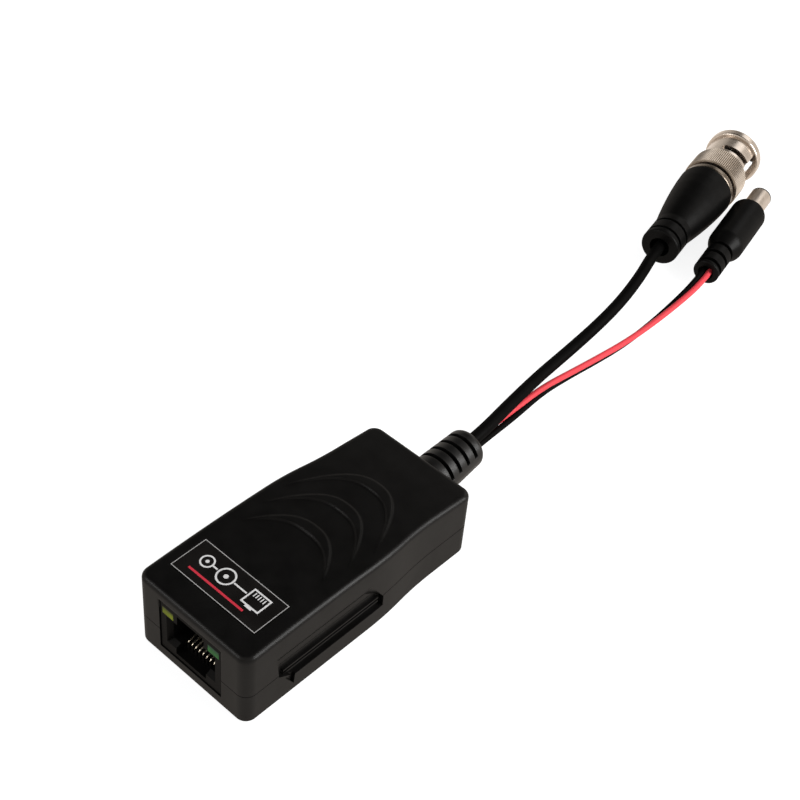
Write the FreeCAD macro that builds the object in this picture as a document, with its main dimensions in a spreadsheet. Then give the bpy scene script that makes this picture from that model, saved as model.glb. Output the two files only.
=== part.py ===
import FreeCAD, Part
import math
import os
import re
import Sketcher

# Video balun: a small case with a network jack at the front, and at the back a strain relief
# with a coaxial lead to a bayonet plug and a red and black pair to a round power plug.
# Millimetres, +Z up. The origin is under the middle of the case, with the jack towards -Y.

# Driving sizes: name, value, meaning
SIZES = [
    ("case_long", 62, "case length along Y"),
    ("front_wide", 29.2, "case width at the jack"),
    ("rear_wide", 27, "case width behind the waist"),
    ("waist_front", 1.35, "Y where the case starts to narrow"),
    ("waist_back", 19.7, "Y where it is narrow"),
    ("crown_front", 18.1, "height of the top at the front"),
    ("crown_middle", 18.2, "height of the top over the origin"),
    ("crown_back", 15.9, "height of the top at the back"),
    ("corner_round", 2.4, "radius of the upright corners"),
    ("rim_round", 1.1, "radius of the top rim"),
    ("foot_round", 0.6, "radius of the bottom rim"),
    ("wall", 2, "side wall thickness"),
    ("roof_thick", 1.5, "top thickness"),
    ("floor_thick", 1.2, "bottom thickness"),
    ("split_level", 7.5, "height of the parting line"),
    ("seam_wide", 0.15, "shadow gap at the parting line"),
    ("tongue_rise", 1.2, "height of the tongue on the lower shell"),
    ("tongue_thick", 0.8, "thickness of that tongue"),
    ("fit_gap", 0.1, "clearance of parts that slide together"),
    ("grip_front", -22.8, "Y of the side recess at its front end"),
    ("grip_back", 4.8, "Y of the side recess at its back end"),
    ("grip_ledge", 4.5, "height of the ledge under the side recess"),
    ("grip_top", 10.2, "height where the side recess is at full depth"),
    ("grip_cove", 2.8, "rise of the sloping face above the recess"),
    ("grip_deep", 1.2, "depth of the side recess"),
    ("grip_slant", 4.2, "length of the slant at the recess ends"),
    ("grip_bend", 2.6, "height above the ledge where the recess ends start to slant"),
    ("grip_flare", 0.6, "how far the recess is longer at the wall face than at its depth"),
    ("grip_notch_front", 1.6, "notch below the recess, from the recess front to its first corner"),
    ("grip_notch_tip", 3.9, "and to its lowest corner"),
    ("grip_notch_drop", 2.5, "drop of that corner below the ledge"),
    ("grip_notch_deep", 0.7, "depth of the notch"),
    ("rib_level", 5.9, "height of the lower rib in the recess"),
    ("rib_step", 0.95, "spacing of the ribs"),
    ("rib_thick", 0.35, "thickness of a rib"),
    ("rib_out", 0.6, "how far a rib stands out of the recess"),
    ("swell_apex", 18.1, "Y of the rearmost crescent's apex"),
    ("swell_step", 8.7, "spacing of the crescents"),
    ("swell_half", 12, "half width of the rearmost crescent"),
    ("swell_drop", 14.4, "depth of the rearmost crescent"),
    ("swell_thick", 2.5, "width of a crescent at its apex"),
    ("swell_rise", 0.35, "height of a crescent above the top"),
    ("swell_fade", 0.06, "height left at its ends"),
    ("swell_bend", 2.4, "power that bends the crescent lines"),
    ("swell_narrow", 0.06, "share of half width lost from one crescent to the next"),
    ("swell_flatten", 0.18, "share of depth lost from one crescent to the next"),
    ("label_wide", 22.4, "label width"),
    ("label_deep", 8.8, "label depth along Y"),
    ("label_x", -0.5, "label centre"),
    ("label_y", 10, "label centre behind the case front"),
    ("label_thick", 0.2, "label thickness"),
    ("label_sunk", 0.1, "depth of the label's seat"),
    ("board_wide", 21, "circuit board width"),
    ("board_front", 3.5, "front edge of the board behind the case front"),
    ("board_back", 6.5, "back edge of the board before the case back"),
    ("board_thick", 1, "board thickness"),
    ("board_top", 2.9, "height of the board's upper face"),
    ("post_x", 8.4, "board posts, each side of the middle"),
    ("post_front", 25, "front board posts behind the case front"),
    ("post_back", 9.5, "back board posts before the case back"),
    ("post_radius", 1.4, "board post radius"),
    ("peg_radius", 0.8, "peg on a post"),
    ("peg_rise", 0.5, "peg height above the board"),
    ("jack_x", -0.2, "jack centre"),
    ("jack_wide", 16, "jack width"),
    ("jack_high", 12.7, "jack height"),
    ("jack_long", 21, "jack length"),
    ("jack_inset", 0.2, "jack face behind the case front"),
    ("jack_gap", 0.3, "gap around the jack in the case"),
    ("port_wide", 11.9, "plug port width"),
    ("port_low", 5.8, "height of the port's lower face"),
    ("port_high", 6.7, "plug port height"),
    ("port_deep", 15.8, "plug port depth"),
    ("port_flare", 0.6, "lead-in of the port"),
    ("latch_wide", 7.2, "width of the latch opening over the port"),
    ("latch_roof", 0.8, "wall over the latch opening"),
    ("peg_x", 5.7, "jack pegs from the jack's middle"),
    ("peg_y", 11.8, "jack pegs behind the jack face"),
    ("comb_wide", 8, "contact carrier width"),
    ("comb_low", 3.9, "height of the contact carrier's underside"),
    ("comb_set", 2, "carrier front behind the jack face"),
    ("comb_leg", 2.6, "thickness of the carrier's back leg"),
    ("contact_count", 8, "number of contacts"),
    ("contact_step", 1, "contact spacing"),
    ("contact_thick", 0.44, "contact wire diameter"),
    ("contact_level", 0.6, "height of the contact wires in the carrier"),
    ("contact_nose", 0.5, "bend of the contact wires behind the carrier front"),
    ("contact_fold", 1, "rise of that bend"),
    ("contact_round", 0.5, "radius of the bends"),
    ("contact_tip", 7.9, "height of a contact's free end"),
    ("contact_reach", 7.5, "length of a contact's sprung part"),
    ("lamp_wide", 2.9, "indicator width"),
    ("lamp_high", 1.8, "indicator height"),
    ("lamp_long", 17, "indicator length"),
    ("lamp_x", 6.1, "indicator centre from the jack centre"),
    ("lamp_rise", 0.2, "wall between port and indicator"),
    ("ring_radius", 3.6, "transformer ring, centre of its section"),
    ("ring_section", 1.5, "transformer ring section radius"),
    ("ring_y", 3, "transformer centre"),
    ("turn_count", 11, "turns in each winding"),
    ("turn_thick", 0.45, "winding wire thickness"),
    ("turn_angle", 9.5, "angle between turns"),
    ("arrester_radius", 2.4, "surge arrester radius"),
    ("arrester_long", 5.4, "surge arrester length"),
    ("arrester_x", -5, "surge arrester axis"),
    ("arrester_y", 17, "surge arrester's front before the case back"),
    ("fuse_radius", 3.2, "resettable fuse radius"),
    ("fuse_thick", 1.8, "resettable fuse thickness"),
    ("fuse_x", 4.9, "resettable fuse centre"),
    ("fuse_y", 16, "resettable fuse centre before the case back"),
    ("fuse_rise", 1.2, "gap between fuse and board"),
    ("fuse_leg", 0.44, "leg radius of the fuse"),
    ("chip_long", 2, "chip resistor length"),
    ("chip_wide", 1.25, "chip resistor width"),
    ("chip_high", 0.55, "chip resistor height"),
    ("chip_y", -5, "Y of the row of chip resistors"),
    ("chip_step", 4.5, "spacing of the chip resistors"),
    ("relief_x", 0.2, "strain relief axis"),
    ("relief_level", 7.8, "height of the strain relief axis"),
    ("relief_lean", 3.7, "lean of the strain relief towards -X, degrees"),
    ("relief_root", 5, "strain relief radius at the case"),
    ("relief_tip", 4.35, "strain relief radius at its end"),
    ("relief_start", 0.45, "gap between the case and the strain relief's body"),
    ("relief_long", 15.65, "length of that body"),
    ("relief_round", 1.5, "radius of its end edge"),
    ("relief_neck", 4.5, "radius where the case grips it"),
    ("relief_flange", 6.1, "radius of the flange inside"),
    ("relief_flange_thick", 1.2, "thickness of that flange"),
    ("slit_first", 4.1, "first slit from the case"),
    ("slit_step", 2.8, "slit spacing"),
    ("slit_count", 4, "number of slits"),
    ("slit_wide", 1, "slit width"),
    ("slit_core", 3.1, "radius left inside the slits"),
    ("slit_web", 1.5, "half height of the webs at the sides"),
    ("coax_radius", 1.4, "coaxial lead radius"),
    ("wire_radius", 0.7, "red and black wire radius"),
    ("core_radius", 0.75, "inner end of the coaxial core"),
    ("braid_radius", 0.5, "twisted braid tail radius"),
    ("tail_step", 2.1, "spacing of the wire ends on the board"),
    ("tail_landing", 2.25, "wire ends from the board's back edge"),
    ("tail_bend", 2.4, "bend radius of the wire ends in wire radii"),
    ("bnc_x", -14.55, "centre of the bayonet plug's tail"),
    ("bnc_y", 133.56, "centre of the bayonet plug's tail"),
    ("bnc_level", 7.5, "height of the bayonet plug's axis"),
    ("bnc_heading", 12.3, "turn of that axis from +Y towards -X, degrees"),
    ("boot_tail", 4.8, "boot radius at its tail"),
    ("boot_front", 7.2, "boot radius at its front"),
    ("boot_long", 28.6, "boot length"),
    ("boot_flare", 8.3, "start of the flare"),
    ("boot_power", 1.6, "power that eases the flare at the boot's front"),
    ("boot_edge", 0.5, "radius of its tail edge"),
    ("boot_hole", 2.5, "radius of the recess round the lead"),
    ("boot_sink", 3, "depth of that recess"),
    ("boot_groove", 1.55, "first groove from the tail"),
    ("boot_groove_step", 3.75, "groove spacing"),
    ("boot_groove_wide", 0.9, "groove width"),
    ("boot_groove_deep", 0.6, "groove depth"),
    ("collar_radius", 6.95, "metal collar in front of the boot"),
    ("collar_long", 2.6, "length of that collar"),
    ("collar_edge", 0.9, "radius of its edges"),
    ("shank_radius", 4.4, "radius of the body inside boot and nut"),
    ("shank_back", 17, "start of the body inside the boot"),
    ("shoulder_radius", 5.6, "body shoulder that holds the nut"),
    ("shoulder_long", 1.2, "length of that shoulder"),
    ("shoulder_space", 0.7, "room for the spring washer behind the shoulder"),
    ("nut_space", 0.6, "gap between collar and coupling nut"),
    ("knurl_long", 6.9, "knurled length"),
    ("knurl_radius", 7.35, "radius over the knurl"),
    ("knurl_deep", 0.22, "tooth depth"),
    ("knurl_count", 96, "number of teeth"),
    ("neck_radius", 6.5, "nut radius between knurl and flange"),
    ("neck_long", 8.1, "length of that neck"),
    ("flange_radius", 7.3, "nut flange radius"),
    ("flange_long", 2.5, "nut flange thickness"),
    ("flange_edge", 0.5, "radius and bevel of the nut's edges"),
    ("nut_bore", 5.2, "bore for the socket's shell"),
    ("nut_gap", 0.06, "running clearance of the nut"),
    ("nut_web", 5, "thickness of the nut's back web"),
    ("nut_chamber", 5.9, "radius of the chamber round the shoulder"),
    ("chamber_long", 3.2, "length of that chamber"),
    ("slot_wide", 2, "bayonet slot width"),
    ("slot_start", -5, "angle of the slot's closed end from the top, degrees"),
    ("slot_turn", 65, "angle from there to the slot's open end, degrees"),
    ("slot_open", 55, "angle of that open end, degrees"),
    ("slot_rise", 0.4, "travel of the slot along the axis"),
    ("slot_back", 9.4, "closed end of the slot from the nut's back"),
    ("lug_reach", 5.75, "radius of the channels for the socket's lugs"),
    ("sleeve_radius", 4.05, "contact sleeve radius"),
    ("sleeve_wall", 0.45, "contact sleeve wall"),
    ("sleeve_sink", 0.4, "how far the contact sleeve ends behind the nut's front"),
    ("sleeve_slit", 0.4, "slit in the contact sleeve"),
    ("core_wide", 2.4, "insulator radius"),
    ("core_sink", 5.5, "how far the insulator ends behind it"),
    ("pin_radius", 0.68, "centre pin radius"),
    ("pin_sink", 1.2, "how far the centre pin ends behind it"),
    ("pin_taper", 0.8, "length of its tapered end"),
    ("seal_section", 0.5, "sealing ring section radius"),
    ("spring_thick", 0.3, "spring washer thickness"),
    ("spring_bore", 4.7, "spring washer bore radius"),
    ("dc_x", -2.7, "centre of the power plug's tail"),
    ("dc_y", 137.4, "centre of the power plug's tail"),
    ("dc_level", 4.6, "height of the power plug's axis"),
    ("dc_heading", 12.9, "turn of that axis from +Y towards -X, degrees"),
    ("grip_tail", 3.25, "power plug tail radius"),
    ("grip_edge", 0.5, "radius of the tail edge"),
    ("grip_radius", 4.5, "power plug grip radius"),
    ("grip_shoulder", 9.9, "start of the shoulder"),
    ("grip_full", 12.8, "end of the shoulder"),
    ("grip_blend", 4, "radius that eases the shoulder"),
    ("grip_long", 30.2, "length of the moulded grip"),
    ("grip_round", 1.6, "radius of its front edge"),
    ("grip_hole", 1.9, "radius of the recess round the wires"),
    ("grip_sink", 1.2, "depth of that recess"),
    ("grip_groove", 0.95, "first groove from the tail"),
    ("grip_groove_step", 3.8, "groove spacing"),
    ("grip_groove_wide", 1.2, "groove width"),
    ("grip_groove_deep", 0.85, "groove depth"),
    ("barrel_radius", 2.75, "power plug barrel radius"),
    ("barrel_long", 8.2, "barrel length outside the grip"),
    ("barrel_wall", 0.35, "barrel wall"),
    ("barrel_root", 5, "barrel length inside the grip"),
    ("barrel_neck", 0.2, "how much slimmer the barrel is inside the grip"),
    ("barrel_bevel", 0.2, "bevel of the barrel's front edge"),
    ("barrel_cap", 0.4, "how far the insulator stands out of the barrel"),
    ("inner_bore", 1.05, "bore of the inner contact"),
    ("inner_wall", 0.3, "inner contact wall"),
]

# Routes of the free leads, chosen by hand from the strain relief to the plugs
COAX_ROUTE = [
    (-0.7, 45.8, 8.75),
    (-1.2, 52, 8.45),
    (-3.15, 62.5, 7.6),
    (-5.2, 75.5, 6.7),
    (-6.4, 87.5, 6),
    (-7.6, 100, 5.8),
    (-9, 111, 6.1),
    (-11.2, 121.5, 6.9),
    (-13.7, 129.65, 7.5),
    (-15.19, 136.49, 7.5),
]
RED_ROUTE = [
    (-1.47, 45.8, 6.6),
    (-2.35, 52.5, 6.1),
    (-2.9, 64, 5.4),
    (-3.6, 75.5, 4.6),
    (-2.7, 84.5, 4.1),
    (-1.8, 93, 3.8),
    (-0.8, 102.5, 3.7),
    (-0.4, 112.5, 3.9),
    (-0.45, 123, 4.2),
    (-0.91, 132.89, 4.6),
    (-2.25, 138.73, 4.6),
]
BLACK_ROUTE = [
    (0, 45.8, 6.6),
    (-0.95, 52.5, 5.6),
    (-2, 64, 4.2),
    (-3.5, 75.5, 3.1),
    (-3.1, 84.5, 2.65),
    (-2.3, 93, 2.3),
    (-1.45, 102.5, 2.25),
    (-1.35, 112.5, 2.65),
    (-1.75, 123, 3.4),
    (-2.35, 132.55, 4.6),
    (-3.69, 138.4, 4.6),
]

# Share of the shorter run that each end of an arc takes up
RUN_SHARE = 0.45
# Length that reaches past every outside face of the case and the plugs
BEYOND = 40
# Overlap of volumes that are joined or cut
LAP = 1
# Distance within which two positions count as the same
CLOSE = 0.001

Vector = FreeCAD.Vector
UP = Vector(0, 0, 1)
ALONG = Vector(0, 1, 0)
ACROSS = Vector(1, 0, 0)

doc = FreeCAD.newDocument("video_balun")
sheet = doc.addObject("Spreadsheet::Sheet", "sizes")
for row, (alias, value, meaning) in enumerate(SIZES, start=1):
    sheet.set(f"A{row}", str(value))
    sheet.setAlias(f"A{row}", alias)
    sheet.set(f"B{row}", meaning)
doc.recompute()
ALIASES = {alias for alias, value, meaning in SIZES}
nodes = []


def size(expression):
    """Value of an expression of sheet names, for shapes worked out in code."""
    return float(sheet.evalExpression(str(expression)))


def link(item, prop, expression):
    """Bind a property to an expression whose names are sheet names."""
    text = re.sub(r"[a-z]\w*", lambda m: "sizes." + m[0] if m[0] in ALIASES else m[0], str(expression))
    item.setExpression(prop, text)


def keep(item, label):
    """Name a sub-part and put it on the list of pieces to write."""
    item.Label = label
    nodes.append(item)


def place(item, at=(0, 0, 0), turn=0):
    """Bind an object's position and its turn about Z."""
    for letter, expression in zip("xyz", at):
        link(item, f"Placement.Base.{letter}", expression)
    link(item, "Placement.Rotation.Angle", turn)


def feature(label, shape, at=(0, 0, 0), turn=0):
    """Sub-part whose shape is worked out in code from the sheet."""
    item = doc.addObject("Part::Feature", label)
    item.Shape = shape
    place(item, at, turn)
    keep(item, label)


def box(low, high):
    """Box between two corners."""
    low, high = Vector(*low), Vector(*high)
    span = high - low
    return Part.makeBox(span.x, span.y, span.z, low)


def prism(points, travel):
    """Solid swept by a straight-sided outline."""
    corners = [Vector(*point) for point in points]
    return Part.Face(Part.makePolygon(corners + corners[:1])).extrude(travel)


def origin_plane(body, role):
    """One of a body's own origin planes."""
    return [item for item in body.Origin.OriginFeatures if item.Role == role][0]


def add_sketch(body, name, role, outline):
    """Closed straight-sided sketch; outline lists (horizontal, vertical) expressions."""
    sketch = body.newObject("Sketcher::SketchObject", name)
    sketch.AttachmentSupport = [(origin_plane(body, role), "")]
    sketch.MapMode = "FlatFace"
    corners = [Vector(size(across), size(upward), 0) for across, upward in outline]
    for index, corner in enumerate(corners):
        sketch.addGeometry(Part.LineSegment(corner, corners[(index + 1) % len(corners)]), False)
    for index in range(len(corners)):
        follower = (index + 1) % len(corners)
        sketch.addConstraint(Sketcher.Constraint("Coincident", index, 2, follower, 1))
    for index, (corner, pair) in enumerate(zip(corners, outline)):
        for kind, start, expression in zip(("DistanceX", "DistanceY"), (corner.x, corner.y), pair):
            constraint = Sketcher.Constraint(kind, -1, 1, index, 1, start)
            number = sketch.addConstraint(constraint)
            link(sketch, f"Constraints[{number}]", expression)
    return sketch


def lathe(label, outline, rounds=()):
    """Body turned about its own X axis; outline lists (along, radius) expressions.
    rounds lists (along, radius, fillet) expressions of circular edges."""
    body = doc.addObject("PartDesign::Body", label)
    sketch = add_sketch(body, f"{label}_outline", "XY_Plane", outline)
    solid = body.newObject("PartDesign::Revolution", f"{label}_turning")
    solid.Profile = sketch
    solid.ReferenceAxis = (sketch, ["H_Axis"])
    solid.Angle = 360
    doc.recompute()
    for number, (along, radius, fillet) in enumerate(rounds):
        edges = circles_at(solid.Shape, size(along), size(radius))
        rounding = body.newObject("PartDesign::Fillet", f"{label}_rounding_{number}")
        rounding.Base = (solid, edges)
        link(rounding, "Radius", fillet)
        solid = rounding
        doc.recompute()
    return body


def turned(label, outline, at, heading, rounds=()):
    """Turned sub-part aimed along a heading from +Y towards -X."""
    body = lathe(label, outline, rounds)
    place(body, at, f"{heading} + 90")
    keep(body, label)


def circles_at(shape, along, radius):
    """Names of the full circles about X at one station."""
    found = []
    for number, edge in enumerate(shape.Edges, start=1):
        curve = edge.Curve
        if not isinstance(curve, Part.Circle):
            continue
        if abs(curve.Center.x - along) + abs(curve.Radius - radius) < CLOSE:
            found.append(f"Edge{number}")
    return found


def bent_wire(points, radius=None):
    """Straight runs joined by tangent arcs; with no radius each arc is as large as its runs allow."""
    points = [Vector(*point) for point in points]
    edges = []
    radii = []
    start = points[0]
    for before, corner, after in zip(points, points[1:], points[2:]):
        back = (before - corner).normalize()
        ahead = (after - corner).normalize()
        half_turn = (math.pi - back.getAngle(ahead)) / 2
        shorter = min((before - corner).Length, (after - corner).Length)
        bend = radius or RUN_SHARE * shorter / math.tan(half_turn)
        cut_back = bend * math.tan(half_turn)
        first = corner + back * cut_back
        last = corner + ahead * cut_back
        middle = corner + (back + ahead).normalize() * (bend / math.cos(half_turn) - bend)
        edges.append(Part.LineSegment(start, first).toShape())
        edges.append(Part.Arc(first, middle, last).toShape())
        radii.append(bend)
        start = last
    edges.append(Part.LineSegment(start, points[-1]).toShape())
    return Part.Wire(edges), radii


def tube(path, radius):
    """Round solid along a wire."""
    begin = path.Edges[0]
    direction = begin.tangentAt(begin.FirstParameter)
    ring = Part.Wire([Part.makeCircle(radius, begin.valueAt(begin.FirstParameter), direction)])
    return path.makePipeShell([ring], True, False)


# Case outline and crown

def outline_face(inset):
    """Plan of the case: straight front half, narrower back half, joined by two equal arcs each side."""
    half_front = size("front_wide / 2") - inset
    half_rear = size("rear_wide / 2") - inset
    end = size("case_long / 2") - inset
    near, far = size("waist_front"), size("waist_back")
    corner = max(size("corner_round") - inset, size("fit_gap"))
    middle = Vector((half_front + half_rear) / 2, (near + far) / 2, 0)
    step = half_front - half_rear
    bend = ((far - near) ** 2 + step ** 2) / (4 * step)
    swing = math.asin((far - near) / 2 / bend) / 2
    dip = Vector(bend * (1 - math.cos(swing)), bend * math.sin(swing), 0)
    front_corner = Vector(half_front, near, 0)
    rear_corner = Vector(half_rear, far, 0)
    first_dip = front_corner + Vector(-dip.x, dip.y, 0)
    second_dip = rear_corner + Vector(dip.x, -dip.y, 0)
    right = [
        Part.LineSegment(Vector(half_front, corner - end, 0), front_corner).toShape(),
        Part.Arc(front_corner, first_dip, middle).toShape(),
        Part.Arc(middle, second_dip, rear_corner).toShape(),
        Part.LineSegment(rear_corner, Vector(half_rear, end - corner, 0)).toShape(),
    ]
    nook = corner * (1 - math.sqrt(0.5))
    rounds = []
    for half, side in ((half_front, -1), (half_rear, 1)):
        rounds.append(Part.Arc(
            Vector(half, side * (end - corner), 0),
            Vector(half - nook, side * (end - nook), 0),
            Vector(half - corner, side * end, 0),
        ).toShape())
    half_plan = right + rounds
    left = [edge.mirror(Vector(), ACROSS) for edge in half_plan]
    ends = []
    for half, side in ((half_front, -1), (half_rear, 1)):
        tip = Vector(half - corner, side * end, 0)
        ends.append(Part.LineSegment(tip, Vector(-tip.x, tip.y, 0)).toShape())
    return Part.Face(Part.Wire(Part.__sortEdges__(half_plan + left + ends)))


def crown_arc(lift):
    """Arch of the top in a plane beside the case, moved up by lift."""
    reach = size("case_long / 2")
    return Part.Arc(
        Vector(-BEYOND, -reach, size("crown_front") + lift),
        Vector(-BEYOND, 0, size("crown_middle") + lift),
        Vector(-BEYOND, reach, size("crown_back") + lift),
    )


def below_crown(lift):
    """Everything under the arched top, moved up by lift."""
    reach = size("case_long / 2")
    arch = crown_arc(lift)
    low_back = Vector(-BEYOND, reach, -BEYOND)
    low_front = Vector(-BEYOND, -reach, -BEYOND)
    edges = [
        arch.toShape(),
        Part.LineSegment(arch.EndPoint, low_back).toShape(),
        Part.LineSegment(low_back, low_front).toShape(),
        Part.LineSegment(low_front, arch.StartPoint).toShape(),
    ]
    return Part.Face(Part.Wire(edges)).extrude(ACROSS * 2 * BEYOND)


def block(inset, lift, floor_level):
    """Case volume with its walls moved in, its top moved up and a flat underside."""
    shape = outline_face(inset).extrude(UP * BEYOND).common(below_crown(lift))
    return shape.common(box((-BEYOND, -BEYOND, floor_level), (BEYOND, BEYOND, BEYOND)))


def case_outside():
    """Outer form with its rims rounded."""
    shape = block(0, 0, 0)
    crest = size("crown_back") - LAP
    top_rim = [e for e in shape.Edges if e.BoundBox.ZMin > crest]
    shape = shape.makeFillet(size("rim_round"), top_rim)
    foot_rim = [e for e in shape.Edges if e.BoundBox.ZMax < CLOSE]
    return shape.makeFillet(size("foot_round"), foot_rim)


def relief_hole():
    """Round passage in the back wall that grips the strain relief."""
    start = Vector(size("relief_x"), size("case_long / 2 - wall") - LAP, size("relief_level"))
    return Part.makeCylinder(size("relief_neck + fit_gap / 2"), size("wall") + 2 * LAP, start, ALONG)


def jack_window():
    """Rectangular window in the front wall round the jack."""
    gap = size("jack_gap")
    half = size("jack_wide / 2") + gap
    middle = size("jack_x")
    front = -size("case_long / 2")
    low = (middle - half, front - LAP, size("board_top") - gap)
    high = (middle + half, front + size("wall") + LAP, size("board_top + jack_high") + gap)
    return box(low, high)


def grip_outline(depth_share):
    """Corners of the side recess in Y and Z, from the wall face (0) to its full depth (1)."""
    front, back = size("grip_front"), size("grip_back")
    ledge, slant = size("grip_ledge"), size("grip_slant")
    spread = size("grip_flare") * (1 - depth_share)
    bend = ledge + size("grip_bend")
    high = size("grip_top") + size("grip_cove") * (1 - depth_share)
    return [
        (front - spread, high),
        (front, bend),
        (front + slant, ledge),
        (back, ledge),
        (back, bend),
        (back - slant + spread, high),
    ]


def grip_recess(side):
    """Hollow in one side of the front half, with a sloping upper face."""
    face = size("front_wide / 2")
    sections = []
    for share, reach in ((0, face + size("fit_gap")), (1, face - size("grip_deep"))):
        corners = [Vector(side * reach, y, z) for y, z in grip_outline(share)]
        sections.append(Part.makePolygon(corners + corners[:1]))
    return Part.makeLoft(sections, True, True)


def grip_notch(side):
    """Small slanted notch below the front end of the side recess."""
    front, ledge = size("grip_front"), size("grip_ledge")
    face = side * size("front_wide / 2")
    corners = [
        (face, front + size("grip_notch_front"), ledge + LAP),
        (face, front + size("grip_notch_tip"), ledge - size("grip_notch_drop")),
        (face, front + size("grip_slant"), ledge + LAP / 2),
    ]
    return prism(corners, ACROSS * -side * size("grip_notch_deep"))


def grip_ribs(side):
    """Two thin ribs low in the side recess."""
    floor_x = size("front_wide / 2 - grip_deep")
    ribs = []
    for index in range(2):
        level = size("rib_level") + index * size("rib_step")
        reach = sorted((side * (floor_x - LAP / 4), side * (floor_x + size("rib_out"))))
        low = (reach[0], size("grip_front + grip_notch_front"), level)
        high = (reach[1], size("grip_back - rib_step"), level + size("rib_thick"))
        ribs.append(box(low, high))
    return ribs


def crescent(index):
    """One raised crescent on the top, between two curved lines that meet at its ends."""
    apex = size("swell_apex") - index * size("swell_step")
    half = size("swell_half") * (1 - size("swell_narrow") * index)
    drop = size("swell_drop") * (1 - size("swell_flatten") * index)
    shares = [step / 6 for step in range(-6, 7)]
    lines = []
    for thick in (0, size("swell_thick")):
        points = []
        for share in shares:
            y = apex - drop * abs(share) ** size("swell_bend") - thick * (1 - share ** 2)
            points.append(Vector(half * share, y, 0))
        curve = Part.BSplineCurve()
        curve.interpolate(points)
        lines.append(curve.toShape())
    face = Part.Face(Part.Wire(Part.__sortEdges__(lines)))
    return face.extrude(UP * BEYOND).common(crescent_layer(half))


def crescent_layer(half):
    """Thin layer over the arched top that gets thinner towards a crescent's ends."""
    circle = crown_arc(0).toShape().Curve
    hub, radius = Vector(0, circle.Center.y, circle.Center.z), circle.Radius
    low, high = radius - LAP / 4, radius + size("swell_rise")
    lean = FreeCAD.Rotation(ACROSS, -math.degrees((size("case_long / 2") - hub.y) / radius))
    sweep = math.degrees(size("case_long") / radius)

    def spot(x, reach):
        """Point over the hub, leaned to the case's back end."""
        return hub + ACROSS * x + lean.multVec(UP * reach)

    ends = [spot(side * half, radius + size("swell_fade")) for side in (-1, 1)]
    corners = [spot(side * half, low) for side in (-1, 1)]
    section = Part.Wire([
        Part.Arc(ends[0], spot(0, high), ends[1]).toShape(),
        Part.LineSegment(ends[1], corners[1]).toShape(),
        Part.LineSegment(corners[1], corners[0]).toShape(),
        Part.LineSegment(corners[0], ends[0]).toShape(),
    ])
    return Part.Face(section).revolve(hub, ACROSS, sweep)


def label_area(margin):
    """Upright prism over the label's rectangle."""
    x, y = size("label_x"), size("label_y - case_long / 2")
    half_x = size("label_wide / 2") + margin
    half_y = size("label_deep / 2") + margin
    return box((x - half_x, y - half_y, 0), (x + half_x, y + half_y, BEYOND))


def make_covers():
    """Upper and lower shell with a tongue in a rebate at the parting line."""
    outside = case_outside()
    hollow = block(size("wall"), -size("roof_thick"), size("floor_thick"))
    split = size("split_level")
    upper_half = box((-BEYOND, -BEYOND, split + size("seam_wide / 2")), (BEYOND, BEYOND, BEYOND))
    lower_half = box((-BEYOND, -BEYOND, -BEYOND), (BEYOND, BEYOND, split - size("seam_wide / 2")))
    passages = [jack_window(), relief_hole()]
    recesses = [grip_recess(side) for side in (-1, 1)]

    rebate_high = split + size("tongue_rise + fit_gap")
    tongue_out = size("wall - tongue_thick")
    rebate = outline_face(tongue_out - size("fit_gap")).extrude(UP * rebate_high)
    upper = outside.common(upper_half).fuse([crescent(index) for index in range(3)])
    seat = label_area(size("fit_gap")).cut(below_crown(-size("label_sunk")))
    upper = upper.cut([hollow, rebate, seat] + passages + recesses).removeSplitter()
    feature("top_cover", upper)

    tongue = outline_face(tongue_out).extrude(UP * (split + size("tongue_rise")))
    tongue = tongue.cut(box((-BEYOND, -BEYOND, -LAP), (BEYOND, BEYOND, split - LAP)))
    lower = outside.common(lower_half).fuse(tongue)
    notches = [grip_notch(side) for side in (-1, 1)]
    lower = lower.cut([hollow] + passages + recesses + notches)
    ribs = [rib for side in (-1, 1) for rib in grip_ribs(side)]
    lower = lower.fuse(ribs + board_posts()).removeSplitter()
    feature("bottom_cover", lower)


# Rows of board posts, and the board's ends
POST_ROWS = ("post_front - case_long / 2", "case_long / 2 - post_back")
BOARD_FRONT = "board_front - case_long / 2"
BOARD_BACK = "case_long / 2 - board_back"


def board_posts():
    """Posts under the board, each with a peg through it."""
    under_board = size("board_top - board_thick")
    posts = []
    for x in (-size("post_x"), size("post_x")):
        for y in POST_ROWS:
            foot = Vector(x, size(y), size("floor_thick / 2"))
            posts.append(Part.makeCylinder(size("post_radius"), under_board - foot.z, foot))
            peg_top = size("board_top + peg_rise")
            posts.append(Part.makeCylinder(size("peg_radius"), peg_top - foot.z, foot))
    return posts


def make_label():
    """Thin film that follows the arched top."""
    proud = size("label_thick - label_sunk")
    film = label_area(0).common(below_crown(proud)).cut(below_crown(-size("label_sunk")))
    feature("label", film)


# Circuit board and what it carries

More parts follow.
